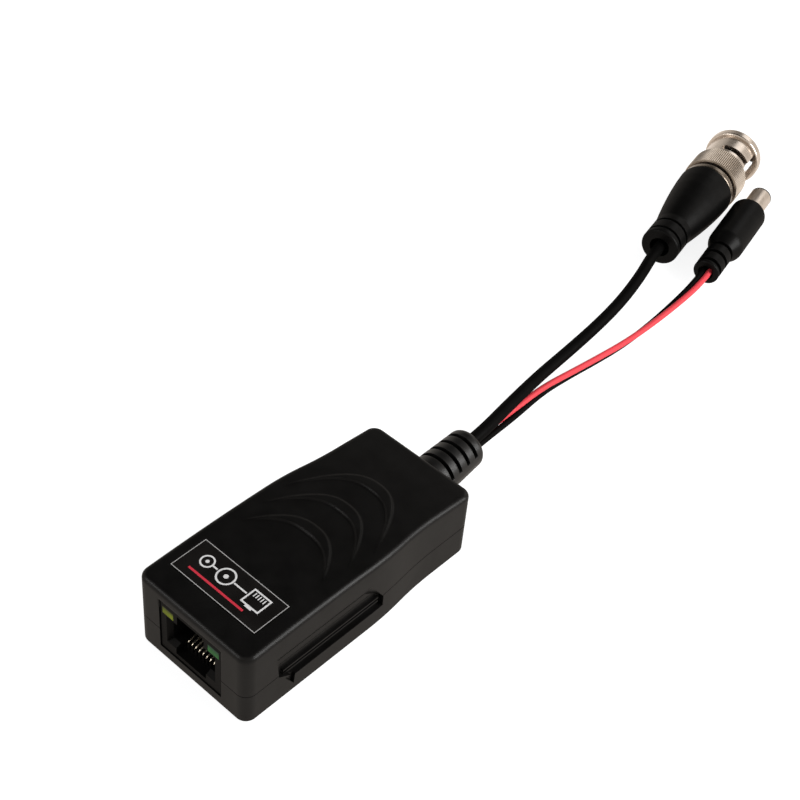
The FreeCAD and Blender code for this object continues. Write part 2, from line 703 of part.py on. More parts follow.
def make_board():
    """Board with holes for the posts' pegs and for the jack's pegs."""
    body = doc.addObject("PartDesign::Body", "circuit_board")
    corners = [
        ("-board_wide / 2", BOARD_FRONT),
        ("board_wide / 2", BOARD_FRONT),
        ("board_wide / 2", BOARD_BACK),
        ("-board_wide / 2", BOARD_BACK),
    ]
    sketch = add_sketch(body, "board_outline", "XY_Plane", corners)
    plate = body.newObject("PartDesign::Pad", "board_plate")
    plate.Profile = sketch
    link(plate, "Length", "board_thick")
    doc.recompute()
    holes = body.newObject("Sketcher::SketchObject", "board_holes")
    holes.AttachmentSupport = [(origin_plane(body, "XY_Plane"), "")]
    holes.MapMode = "FlatFace"
    spots = [(f"{sign}post_x", y) for sign in ("-", "") for y in POST_ROWS]
    spots += [(f"jack_x {sign} peg_x", "jack_inset + peg_y - case_long / 2") for sign in "-+"]
    for number, (x, y) in enumerate(spots):
        circle = Part.Circle(Vector(size(x), size(y), 0), UP, size("peg_radius + fit_gap"))
        holes.addGeometry(circle, False)
        for kind, expression in (("DistanceX", x), ("DistanceY", y)):
            constraint = Sketcher.Constraint(kind, -1, 1, number, 3, size(expression))
            link(holes, f"Constraints[{holes.addConstraint(constraint)}]", expression)
        constraint = Sketcher.Constraint("Radius", number, circle.Radius)
        link(holes, f"Constraints[{holes.addConstraint(constraint)}]", "peg_radius + fit_gap")
    drilling = body.newObject("PartDesign::Pocket", "board_drilling")
    drilling.Profile = holes
    drilling.Type = "ThroughAll"
    drilling.Midplane = True
    place(body, (0, 0, "board_top - board_thick"))
    keep(body, "circuit_board")


def jack_face():
    """Y of the jack's front face."""
    return size("jack_inset - case_long / 2")


def make_jack():
    """Jack housing: plug port with lead-in, latch opening, carrier channel and indicator channels."""
    middle, face = size("jack_x"), jack_face()
    base, top = size("board_top"), size("board_top + jack_high")
    back = face + size("jack_long")

    def across(half, front, rear, low, high):
        """Box about the jack's middle."""
        return box((middle - half, front, low), (middle + half, rear, high))

    shell = across(size("jack_wide / 2"), face, back, base, top)
    low, high = size("port_low"), size("port_low + port_high")
    port_end = face + size("port_deep")
    port_half = size("port_wide / 2")
    gap = size("fit_gap / 2")
    comb_half = size("comb_wide / 2") + gap
    comb_low = size("comb_low") - gap
    leg_front = back - size("comb_leg") - gap
    spaces = [
        across(port_half, face - LAP, port_end, low, high),
        across(size("latch_wide / 2"), face - LAP, port_end, high - LAP, top - size("latch_roof")),
        across(comb_half, face - LAP, back + LAP, comb_low, low + gap),
        across(comb_half, leg_front, back + LAP, base - LAP, low + gap),
        port_lead_in(middle, face, port_half, low, high),
    ]
    spaces += [lamp_space(side, gap) for side in (-1, 1)]
    pegs = []
    for side in (-1, 1):
        foot = Vector(middle + side * size("peg_x"), face + size("peg_y"), base - size("board_thick"))
        pegs.append(Part.makeCylinder(size("peg_radius"), size("board_thick") + LAP, foot))
    feature("jack_housing", shell.cut(spaces).fuse(pegs).removeSplitter())


def port_lead_in(middle, face, half, low, high):
    """Flare at the port's mouth, to both sides and downwards."""
    flare = size("port_flare")
    sections = []
    for y, spread in ((face, flare), (face + 2 * flare, 0)):
        corners = [
            Vector(middle - half - spread, y, low - spread),
            Vector(middle + half + spread, y, low - spread),
            Vector(middle + half + spread, y, high),
            Vector(middle - half - spread, y, high),
        ]
        sections.append(Part.makePolygon(corners + corners[:1]))
    return Part.makeLoft(sections, True, True)


def lamp_space(side, gap):
    """Space of one indicator, with a gap all round."""
    middle = size("jack_x") + side * size("lamp_x")
    half = size("lamp_wide / 2") + gap
    low = size("port_low + port_high + lamp_rise")
    face = jack_face()
    front = face - LAP if gap else face
    top = low + size("lamp_high") + gap
    return box((middle - half, front, low - gap), (middle + half, face + size("lamp_long") + gap, top))


def make_lamps():
    """Two indicator light guides in the jack's upper corners."""
    for side, colour in ((-1, "yellow"), (1, "green")):
        feature(f"indicator_{colour}", lamp_space(side, 0))


def contact_columns():
    """X of each contact."""
    count = int(size("contact_count"))
    middle = size("jack_x")
    return [middle + (index - (count - 1) / 2) * size("contact_step") for index in range(count)]


def make_contacts():
    """Sprung contact wires in the port's floor and the carrier whose comb holds them apart."""
    back = jack_face() + size("jack_long")
    front = jack_face() + size("comb_set")
    middle, comb_half = size("jack_x"), size("comb_wide / 2")
    top, low = size("port_low"), size("comb_low")
    leg_front = back - size("comb_leg")
    bar = box((middle - comb_half, front, low), (middle + comb_half, back, top))
    leg = box((middle - comb_half, leg_front, size("board_top")), (middle + comb_half, back, top))
    wire_half = size("contact_thick / 2")
    slot_half = wire_half + size("fit_gap / 4")
    level = low + size("contact_level")
    stem = leg_front + size("comb_leg / 2")
    nose = front + size("contact_nose")
    slots, wires = [], []
    for x in contact_columns():
        slots.append(box((x - slot_half, front - LAP, level - slot_half), (x + slot_half, stem, top + LAP)))
        stem_low = (x - slot_half, stem - size("contact_round"), low - 2 * LAP)
        slots.append(box(stem_low, (x + slot_half, stem + slot_half, top + LAP)))
        route = [
            (x, stem, size("board_top")),
            (x, stem, level),
            (x, nose, level),
            (x, nose, level + size("contact_fold")),
            (x, nose + size("contact_reach"), size("contact_tip")),
        ]
        path, radii = bent_wire(route, size("contact_round"))
        wires.append(tube(path, wire_half))
    feature("contact_carrier", bar.fuse(leg).cut(slots).removeSplitter())
    feature("jack_contacts", Part.makeCompound(wires))


def make_transformer():
    """Ferrite ring and its two windings, flat on the board."""
    core_radius, section = size("ring_radius"), size("ring_section")
    thick = size("turn_thick")
    level = size("board_top") + section + thick
    ring = doc.addObject("Part::Torus", "transformer_core")
    link(ring, "Radius1", "ring_radius")
    link(ring, "Radius2", "ring_section")
    place(ring, (0, "ring_y", "board_top + ring_section + turn_thick"))
    keep(ring, "transformer_core")
    count = int(size("turn_count"))
    for name, centre_angle in (("primary_winding", 0), ("secondary_winding", 180)):
        turns = []
        for index in range(count):
            angle = centre_angle + (index - (count - 1) / 2) * size("turn_angle")
            spoke = Vector(math.cos(math.radians(angle)), math.sin(math.radians(angle)), 0)
            tangent = Vector(-spoke.y, spoke.x, 0)
            hub = spoke * core_radius + Vector(0, size("ring_y"), level) - tangent * thick / 2
            turns.append(Part.makeCylinder(section + thick, thick, hub, tangent))
        winding = turns[0].fuse(turns[1:])
        winding = winding.cut(Part.makeTorus(core_radius, section, Vector(0, size("ring_y"), level)))
        feature(name, winding)


def make_small_parts():
    """Surge arrester, resettable fuse and chip resistors."""
    arrester = doc.addObject("Part::Cylinder", "surge_arrester")
    link(arrester, "Radius", "arrester_radius")
    link(arrester, "Height", "arrester_long")
    arrester.Placement.Rotation = FreeCAD.Rotation(ACROSS, -90)
    corner = ("arrester_x", "case_long / 2 - arrester_y", "board_top + arrester_radius")
    for letter, expression in zip("xyz", corner):
        link(arrester, f"Placement.Base.{letter}", expression)
    keep(arrester, "surge_arrester")

    radius, thick = size("fuse_radius"), size("fuse_thick")
    level = size("board_top + fuse_radius + fuse_rise")
    centre = Vector(size("fuse_x"), size("case_long / 2 - fuse_y"), level)
    disc = Part.makeCylinder(radius, thick, centre - ACROSS * thick / 2, ACROSS)
    legs = []
    for side in (-1, 1):
        foot = Vector(centre.x, centre.y + side * radius / 2, size("board_top"))
        legs.append(Part.makeCylinder(size("fuse_leg"), centre.z - foot.z, foot))
    feature("resettable_fuse", disc.fuse(legs).removeSplitter())

    chip = Vector(size("chip_long"), size("chip_wide"), size("chip_high"))
    chips = []
    for index in (-1, 0, 1):
        low = Vector(index * size("chip_step") - chip.x / 2, size("chip_y") - chip.y / 2, size("board_top"))
        chips.append(box(low, low + chip))
    feature("chip_resistors", Part.makeCompound(chips))


# Strain relief and leads

def tail_columns():
    """X of each wire end on the board, from the braid to the black wire."""
    return [size("relief_x") + (index - 3 / 2) * size("tail_step") for index in range(4)]


def make_wire_ends():
    """Inner ends of the leads, from the strain relief's flange down to the board."""
    flange_face = size("case_long / 2 - wall - fit_gap - relief_flange_thick")
    level = size("relief_level")
    landing = size(f"{BOARD_BACK} - tail_landing")
    names = ("coax_braid_tail", "coax_core_end", "red_wire_end", "black_wire_end")
    radii = ("braid_radius", "core_radius", "wire_radius", "wire_radius")
    for name, radius, x in zip(names, radii, tail_columns()):
        route = [(x, flange_face, level), (x, landing, level), (x, landing, size("board_top"))]
        path, bends = bent_wire(route, size("tail_bend") * size(radius))
        feature(name, tube(path, size(radius)))


def make_relief(leads):
    """Strain relief: flange and neck in the case, and a leaning, tapering body with slits."""
    x, level = size("relief_x"), size("relief_level")
    thick = size("relief_flange_thick")
    flange_start = Vector(x, size("case_long / 2 - wall - fit_gap") - thick, level)
    root = Vector(x, size("case_long / 2 + relief_start"), level)
    flange = Part.makeCylinder(size("relief_flange"), thick, flange_start, ALONG)
    neck_long = root.y + LAP / 2 - flange_start.y
    neck = Part.makeCylinder(size("relief_neck"), neck_long, flange_start, ALONG)

    axis = FreeCAD.Rotation(UP, size("relief_lean")).multVec(ALONG)
    body = Part.makeCone(size("relief_root"), size("relief_tip"), size("relief_long"), root, axis)
    rim = [e for e in body.Edges if abs((e.CenterOfMass - root).dot(axis) - size("relief_long")) < CLOSE]
    body = body.makeFillet(size("relief_round"), rim)
    wide = size("slit_wide")
    web = size("slit_web")
    slits = []
    for index in range(int(size("slit_count"))):
        start = root + axis * (size("slit_first") + index * size("slit_step") - wide / 2)
        ring = Part.makeCylinder(BEYOND, wide, start, axis)
        ring = ring.cut(Part.makeCylinder(size("slit_core"), wide, start, axis))
        slits.append(ring.cut(box((-BEYOND, -BEYOND, level - web), (BEYOND, 3 * BEYOND, level + web))))
    feature("strain_relief", body.cut(slits).fuse([flange, neck]).cut(leads))


def make_leads():
    """Free stretches of the three leads, with their arc radii and volumes printed."""
    leads = []
    for name, route, radius in (
        ("coax_lead", COAX_ROUTE, size("coax_radius")),
        ("red_wire", RED_ROUTE, size("wire_radius")),
        ("black_wire", BLACK_ROUTE, size("wire_radius")),
    ):
        path, bends = bent_wire(route)
        solid = tube(path, radius)
        plain = math.pi * radius ** 2 * path.Length
        print(f"{name}: length {path.Length:.1f}, arc radii {[round(bend) for bend in bends]}")
        print(f"{name}: volume {solid.Volume:.2f}, section times length {plain:.2f}")
        feature(name, solid)
        leads.append(solid)
    return leads


# Bayonet plug

BNC_AT = ("bnc_x", "bnc_y", "bnc_level")
DC_AT = ("dc_x", "dc_y", "dc_level")


def make_bnc_boot():
    """Moulded boot with a recess for the lead, two ring grooves and an easing flare."""
    outline = [("0", "boot_hole"), ("0", "boot_tail")]
    outline += grooves("boot_tail", "boot_groove", 2)
    outline.append(("boot_flare", "boot_tail"))
    for step in range(1, 7):
        along = f"boot_flare + (boot_long - boot_flare) * {step / 6:.4f}"
        ease = f"(1 - {1 - step / 6:.4f} ^ boot_power)"
        outline.append((along, f"boot_tail + (boot_front - boot_tail) * {ease}"))
    outline += [
        ("boot_long", "shank_radius"),
        ("shank_back", "shank_radius"),
        ("shank_back", "0"),
        ("boot_sink", "0"),
        ("boot_sink", "boot_hole"),
    ]
    turned("bnc_boot", outline, BNC_AT, "bnc_heading", [("0", "boot_tail", "boot_edge")])


def grooves(radius, groove, count):
    """Corners of the ring grooves in a plug's tail."""
    corners = []
    for index in range(count):
        start = f"{groove} + {index} * {groove}_step"
        corners += [
            (start, radius),
            (start, f"{radius} - {groove}_deep"),
            (f"{start} + {groove}_wide", f"{radius} - {groove}_deep"),
            (f"{start} + {groove}_wide", radius),
        ]
    return corners


# Stations along the bayonet plug
COLLAR_FRONT = "boot_long + collar_long"
NUT_BACK = f"{COLLAR_FRONT} + nut_space"
CHAMBER_BACK = f"{NUT_BACK} + nut_web"
SHOULDER_BACK = f"{CHAMBER_BACK} + shoulder_space"
SHOULDER_FRONT = f"{SHOULDER_BACK} + shoulder_long"
NECK_BACK = f"{NUT_BACK} + knurl_long"
FLANGE_BACK = f"{NECK_BACK} + neck_long"
NUT_FRONT = f"{FLANGE_BACK} + flange_long"
SLEEVE_FRONT = f"{NUT_FRONT} - sleeve_sink"
CORE_FRONT = f"{NUT_FRONT} - core_sink"
PIN_FRONT = f"{NUT_FRONT} - pin_sink"


def make_bnc_body():
    """Metal body: shank, collar, shoulder that holds the nut, and the slit contact sleeve."""
    sleeve_inside = "sleeve_radius - sleeve_wall"
    outline = [
        ("shank_back", "core_wide"),
        ("shank_back", "shank_radius"),
        ("boot_long", "shank_radius"),
        ("boot_long", "collar_radius"),
        (COLLAR_FRONT, "collar_radius"),
        (COLLAR_FRONT, "shank_radius"),
        (SHOULDER_BACK, "shank_radius"),
        (SHOULDER_BACK, "shoulder_radius"),
        (SHOULDER_FRONT, "shoulder_radius"),
        (SHOULDER_FRONT, "sleeve_radius"),
        (SLEEVE_FRONT, "sleeve_radius"),
        (SLEEVE_FRONT, sleeve_inside),
        (SHOULDER_FRONT, sleeve_inside),
        (SHOULDER_FRONT, "core_wide"),
    ]
    rounds = [
        ("boot_long", "collar_radius", "collar_edge"),
        (COLLAR_FRONT, "collar_radius", "collar_edge"),
    ]
    blank = lathe("bnc_body_blank", outline, rounds)
    slit = size("sleeve_slit / 2")
    start, end = size(CORE_FRONT), size(SLEEVE_FRONT) + LAP
    reach = size("sleeve_radius") + LAP
    slits = [
        box((start, -reach, -slit), (end, reach, slit)),
        box((start, -slit, -reach), (end, slit, reach)),
    ]
    feature("bnc_body", blank.Shape.cut(slits), BNC_AT, "bnc_heading + 90")


def knurled_ring():
    """Ring of straight pointed teeth about X with bevelled ends."""
    start, long, radius = size(NUT_BACK), size("knurl_long"), size("knurl_radius")
    count = int(size("knurl_count"))
    corners = []
    for index in range(2 * count):
        angle = math.pi * index / count
        reach = radius - (index % 2) * size("knurl_deep")
        corners.append((start, reach * math.cos(angle), reach * math.sin(angle)))
    bevel = size("knurl_deep") * 2
    envelope = Part.makeCylinder(radius, long - 2 * bevel, Vector(start + bevel, 0, 0), ACROSS)
    for base, direction in ((start + bevel, ACROSS * -1), (start + long - bevel, ACROSS)):
        envelope = envelope.fuse(Part.makeCone(radius, radius - bevel, bevel, Vector(base, 0, 0), direction))
    return prism(corners, ACROSS * long).common(envelope)


def bayonet_slots():
    """Two slots round the nut's neck, each with an open end and a channel from the front face."""
    half, first = size("slot_wide / 2"), size("slot_start")
    turn, opening = size("slot_turn"), size("slot_open")
    closed_end = size(f"{NUT_BACK} + slot_back")
    neck_back, flange_back, front = size(NECK_BACK), size(FLANGE_BACK), size(NUT_FRONT)
    inside = size("nut_bore") - LAP
    outside = size("neck_radius") + LAP
    steps = 13
    tools = []
    for offset in (first, first + 180):
        for step in range(steps + 1):
            share = step / steps
            spoke = FreeCAD.Rotation(ACROSS, offset + turn * share).multVec(UP)
            foot = Vector(closed_end + size("slot_rise") * share, 0, 0) + spoke * inside
            tools.append(Part.makeCylinder(half, outside - inside, foot, spoke))
        middle = offset + turn + opening / 2
        side_angle = math.radians(opening / 2)
        edge = Vector(neck_back, -outside * math.tan(side_angle), outside)
        corners = [(neck_back, 0, 0), edge, (neck_back, -edge.y, edge.z)]
        window = prism(corners, ACROSS * (flange_back - neck_back))
        channel = box((flange_back - LAP, -half, 0), (front + LAP, half, size("lug_reach")))
        for tool in (window, channel):
            tool.rotate(Vector(), ACROSS, middle)
            tools.append(tool)
    return tools


def make_bnc_nut():
    """Coupling nut: web that turns on the body, knurled grip, slotted neck and front flange."""
    chamber_front = f"{CHAMBER_BACK} + chamber_long"
    knurl_root = "knurl_radius - 2 * knurl_deep"
    outline = [
        (NUT_BACK, "shank_radius + nut_gap"),
        (NUT_BACK, f"{knurl_root} - flange_edge"),
        (f"{NUT_BACK} + flange_edge", knurl_root),
        (NECK_BACK, knurl_root),
        (NECK_BACK, "neck_radius"),
        (FLANGE_BACK, "neck_radius"),
        (FLANGE_BACK, "flange_radius"),
        (NUT_FRONT, "flange_radius"),
        (NUT_FRONT, "nut_bore + flange_edge"),
        (f"{NUT_FRONT} - flange_edge", "nut_bore"),
        (chamber_front, "nut_bore"),
        (chamber_front, "nut_chamber"),
        (CHAMBER_BACK, "nut_chamber"),
        (CHAMBER_BACK, "shank_radius + nut_gap"),
    ]
    rounds = [
        (FLANGE_BACK, "flange_radius", "flange_edge"),
        (NUT_FRONT, "flange_radius", "flange_edge"),
    ]
    blank = lathe("bnc_nut_blank", outline, rounds)
    inside = Part.makeCylinder(size("nut_chamber"), BEYOND, Vector(size(NUT_BACK) - LAP, 0, 0), ACROSS)
    nut = blank.Shape.fuse(knurled_ring().cut(inside)).cut(bayonet_slots())
    feature("bnc_coupling_nut", nut, BNC_AT, "bnc_heading + 90")


def make_bnc_inside():
    """Insulator, centre pin, sealing ring and spring washer."""
    turned("bnc_insulator", [
        ("shank_back", "pin_radius"),
        ("shank_back", "core_wide"),
        (CORE_FRONT, "core_wide"),
        (CORE_FRONT, "pin_radius"),
    ], BNC_AT, "bnc_heading")
    turned("bnc_centre_pin", [
        ("shank_back", "0"),
        ("shank_back", "pin_radius"),
        (f"{PIN_FRONT} - pin_taper", "pin_radius"),
        (PIN_FRONT, "pin_radius / 3"),
        (PIN_FRONT, "0"),
    ], BNC_AT, "bnc_heading")
    washer_front = f"{SHOULDER_BACK} - fit_gap"
    turned("bnc_spring_washer", [
        (f"{washer_front} - spring_thick", "spring_bore"),
        (f"{washer_front} - spring_thick", "shoulder_radius"),
        (washer_front, "shoulder_radius"),
        (washer_front, "spring_bore"),
    ], BNC_AT, "bnc_heading")
    seal = Part.makeTorus(
        size("sleeve_radius + seal_section + fit_gap / 2"),
        size("seal_section"),
        Vector(size(f"{SHOULDER_FRONT} + seal_section"), 0, 0),
        ACROSS,
    )
    feature("bnc_sealing_ring", seal, BNC_AT, "bnc_heading + 90")


# Power plug

def make_dc_plug():
    """Moulded grip with grooves, outer barrel, insulating ring and inner contact."""
    outline = [("0", "grip_hole"), ("0", "grip_tail")]
    outline += grooves("grip_tail", "grip_groove", 3)
    outline += [
        ("grip_shoulder", "grip_tail"),
        ("grip_full", "grip_radius"),
        ("grip_long", "grip_radius"),
        ("grip_long", "barrel_radius - barrel_neck"),
        ("grip_long - barrel_root", "barrel_radius - barrel_neck"),
        ("grip_long - barrel_root", "0"),
        ("grip_sink", "0"),
        ("grip_sink", "grip_hole"),
    ]
    rounds = [
        ("0", "grip_tail", "grip_edge"),
        ("grip_full", "grip_radius", "grip_blend"),
        ("grip_long", "grip_radius", "grip_round"),
    ]
    turned("dc_grip", outline, DC_AT, "dc_heading", rounds)

    root = "grip_long - barrel_root"
    tip = "grip_long + barrel_long"
    inside = "barrel_radius - barrel_wall"
    step = "grip_long + barrel_wall"
    turned("dc_barrel", [
        (root, f"{inside} - barrel_neck"),
        (root, "barrel_radius - barrel_neck"),
        ("grip_long", "barrel_radius - barrel_neck"),
        ("grip_long", "barrel_radius"),
        (f"{tip} - barrel_bevel", "barrel_radius"),
        (tip, "barrel_radius - barrel_bevel"),
        (tip, inside),
        (step, inside),
        (step, f"{inside} - barrel_neck"),
    ], DC_AT, "dc_heading")
    turned("dc_insulator", [
        (root, "inner_bore + inner_wall"),
        (root, f"{inside} - barrel_neck"),
        (step, f"{inside} - barrel_neck"),
        (step, inside),
        (tip, inside),
        (f"{tip} + barrel_cap", f"{inside} - barrel_cap"),
        (f"{tip} + barrel_cap", "inner_bore + inner_wall"),
    ], DC_AT, "dc_heading")
    turned("dc_inner_contact", [
        (root, "inner_bore"),
        (root, "inner_bore + inner_wall"),
        (tip, "inner_bore + inner_wall"),
        (tip, "inner_bore"),
    ], DC_AT, "dc_heading")


def write_parts():
    """Check every object and write each sub-part's shape."""
    doc.recompute()
    for item in doc.Objects:
        assert not {"Invalid", "Error"} & set(item.State), f"{item.Label} failed: {item.State}"
    for item in nodes:
        assert not item.Shape.isNull() and item.Shape.isValid(), f"{item.Label} has a bad shape"
    os.makedirs("parts", exist_ok=True)
    for item in nodes:
        item.Shape.exportStep(f"parts/{item.Label}.step")
        print(f"{item.Label}: {len(item.Shape.Solids)} solids, {item.Shape.Volume:.1f} mm3")


make_covers()
make_label()
make_board()
make_jack()
make_lamps()
make_contacts()
make_transformer()
make_small_parts()
make_wire_ends()
make_relief(make_leads())
make_bnc_boot()
make_bnc_body()
make_bnc_nut()
make_bnc_inside()
make_dc_plug()
write_parts()
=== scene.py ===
import bpy
from mathutils import Matrix, Vector


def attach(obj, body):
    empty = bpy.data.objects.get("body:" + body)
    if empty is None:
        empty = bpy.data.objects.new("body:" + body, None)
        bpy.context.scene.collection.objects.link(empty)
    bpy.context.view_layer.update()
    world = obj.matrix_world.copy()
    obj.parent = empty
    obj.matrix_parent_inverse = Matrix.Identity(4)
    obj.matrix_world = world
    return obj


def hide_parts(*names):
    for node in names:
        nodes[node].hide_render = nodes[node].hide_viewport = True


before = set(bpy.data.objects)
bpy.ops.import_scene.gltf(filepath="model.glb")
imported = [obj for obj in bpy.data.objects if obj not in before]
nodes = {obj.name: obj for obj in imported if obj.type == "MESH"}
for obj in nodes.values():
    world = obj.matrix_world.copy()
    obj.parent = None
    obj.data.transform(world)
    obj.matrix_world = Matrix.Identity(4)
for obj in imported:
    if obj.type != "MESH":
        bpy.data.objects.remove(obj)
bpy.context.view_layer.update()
scene = bpy.context.scene
scene.view_settings.view_transform = "Standard"

# Camera, in metres and in the model's frame
CAMERA_AT = (0.139289, -0.149123, 0.242835)
CAMERA_RIGHT = (0.72931, 0.68043, 0.07161)
CAMERA_UP = (-0.50433, 0.46391, 0.72831)
CAMERA_BACK = (0.46234, -0.56728, 0.68150)
LENS = 72.2
SENSOR = 36

# Routes of the free leads, in metres, as in the model
COAX_ROUTE = [
    (-0.0007, 0.0458, 0.00875),
    (-0.0012, 0.052, 0.00845),
    (-0.00315, 0.0625, 0.0076),
    (-0.0052, 0.0755, 0.0067),
    (-0.0064, 0.0875, 0.006),
    (-0.0076, 0.1, 0.0058),
    (-0.009, 0.111, 0.0061),
    (-0.0112, 0.1215, 0.0069),
    (-0.0137, 0.12965, 0.0075),
    (-0.01519, 0.13649, 0.0075),
]
RED_ROUTE = [
    (-0.00147, 0.0458, 0.0066),
    (-0.00235, 0.0525, 0.0061),
    (-0.0029, 0.064, 0.0054),
    (-0.0036, 0.0755, 0.0046),
    (-0.0027, 0.0845, 0.0041),
    (-0.0018, 0.093, 0.0038),
    (-0.0008, 0.1025, 0.0037),
    (-0.0004, 0.1125, 0.0039),
    (-0.00045, 0.123, 0.0042),
    (-0.00091, 0.13289, 0.0046),
    (-0.00225, 0.13873, 0.0046),
]
BLACK_ROUTE = [
    (0, 0.0458, 0.0066),
    (-0.00095, 0.0525, 0.0056),
    (-0.002, 0.064, 0.0042),
    (-0.0035, 0.0755, 0.0031),
    (-0.0031, 0.0845, 0.00265),
    (-0.0023, 0.093, 0.0023),
    (-0.00145, 0.1025, 0.00225),
    (-0.00135, 0.1125, 0.00265),
    (-0.00175, 0.123, 0.0034),
    (-0.00235, 0.13255, 0.0046),
    (-0.00369, 0.1384, 0.0046),
]
COAX_THICK = 0.0028
WIRE_THICK = 0.0014

# Tail centres and axes of the two plugs
BNC_AT = (-0.01455, 0.13356, 0.0075)
BNC_AXIS = (-0.21303, 0.97705, 0)
DC_AT = (-0.0027, 0.1374, 0.0046)
DC_AXIS = (-0.22325, 0.97476, 0)

# Height at which the side recess ends, and that over which the softened edges set in, in metres
RECESS_TOP = 0.0132
SOFT_RISE = 0.0008

# Nut's knurl and the barrel's dark tip ring, in millimetres along and from the plug's axis
KNURL_FRONT = 38.7
KNURL_RADIUS = 7.35
KNURL_DEEP = 0.22
TIP_RING = 37.8
TO_MM = 1000

# Weight of the fine grain in the gloss, beside the broad patches
FINE_SHARE = 0.6

# Samples that soften an edge
EDGE_SAMPLES = 6

# Span that most of a noise lies in
NOISE_SPAN = (0.3, 0.7)

# Roughness that the knurl has over the rest of the nut
KNURL_DULL = 0.12

# Print of the label, in millimetres from its middle: place, then half sides or radius
LABEL_MIDDLE = (-0.0005, -0.021)
LABEL_BORDER = (0, 0, 11.05, 4.25)
RED_BAR = (-1.2, -2.35, 7.2, 0.24)
JACK_OUTLINE = (6.1, 0.9, 2.1, 1.75)
JACK_LATCH = (6.1, -1.1, 0.85, 0.3)
JACK_CONTACT = (6.1, 1.75, 0.12, 0.5)
CONTACT_STEP = 0.62
LINKS = ((1.9, 0.9, 1.65, 0.18), (-4.75, 0.9, 0.6, 0.18))
RINGS = ((-1.9, 0.9, 1.85, 0.38), (-6.9, 0.9, 1.35, 0.36))
PINS = ((-1.9, 0.9, 0.5), (-6.9, 0.9, 0.4))
BORDER_LINE = 0.16
OUTLINE_LINE = 0.36
INKS = {"white": (0.6, 0.59, 0.58), "red": (0.52, 0.03, 0.05), "silver": (0.34, 0.33, 0.32)}
INK_DARK = 0.82

# Studio: brightness that surfaces reflect, the angle's cosines between which it fades to the dark side, overhead
# and to the back left, and the plain light
DARK_SIDE = (-0.35, 0.3, 0.88)
FADE = {"From Min": 0.72, "From Max": 0.88, "To Min": 0.86, "To Max": 0.03}
MIRROR_TINT = (1, 0.93, 0.85)
SKY_TINT = (0.97, 0.98, 1.0)
SKY_LIGHT = 0.55

WHITE = (1, 1, 1)

# Floor: reach and drop in metres, greys, and the glow that keeps it white to the camera
FLOOR_REACH = 3.0
FLOOR_DROP = 0.00002
FLOOR_GREY = 0.8
FLOOR_SHADE = 0.3
FLOOR_GLOW = 0.86
FLOOR_TINT = (0.95, 0.84, 0.73)

# Lamps: place and width in metres, and power in watts
LAMPS = {
    "back_lamp": ((0.6, 0.4, 0.36), 0.45, 8.0),
    "front_lamp": ((-0.36, -0.55, 0.45), 0.25, 1.5),
    "rear_lamp": ((-0.03, 0.85, 0.44), 0.3, 0.4),
}
LAMP_AIM = (0, 0.05, 0)


def make_camera():
    """Camera at the photograph's viewing angle."""
    camera = bpy.data.objects.new("camera", bpy.data.cameras.new("camera"))
    scene.collection.objects.link(camera)
    turn = Matrix((CAMERA_RIGHT, CAMERA_UP, CAMERA_BACK)).transposed()
    camera.matrix_world = Matrix.Translation(CAMERA_AT) @ turn.to_4x4()
    camera.data.lens = LENS
    camera.data.sensor_width = SENSOR
    camera.data.clip_start = 0.01
    camera.data.clip_end = 20
    scene.camera = camera


def cord(name, route, thick):
    """Smooth round lead with the route's points as its control points."""
    curve = bpy.data.curves.new(name, "CURVE")
    curve.dimensions = "3D"
    spline = curve.splines.new("NURBS")
    spline.points.add(len(route) - 1)
    for point, place in zip(spline.points, route):
        point.co = (*place, 1)
    spline.order_u = 3
    spline.use_endpoint_u = True
    spline.resolution_u = 16
    curve.bevel_depth = thick / 2
    curve.bevel_resolution = 8
    curve.use_fill_caps = True
    piece = bpy.data.objects.new(name, curve)
    scene.collection.objects.link(piece)
    return piece


def mix_sockets(node, kind):
    """Share, first and second input and the output of a mix node of one kind."""
    first, second, out = {"RGBA": (6, 7, 2), "VECTOR": (4, 5, 1)}[kind]
    return (node.inputs[0], node.inputs[first], node.inputs[second]), node.outputs[out]


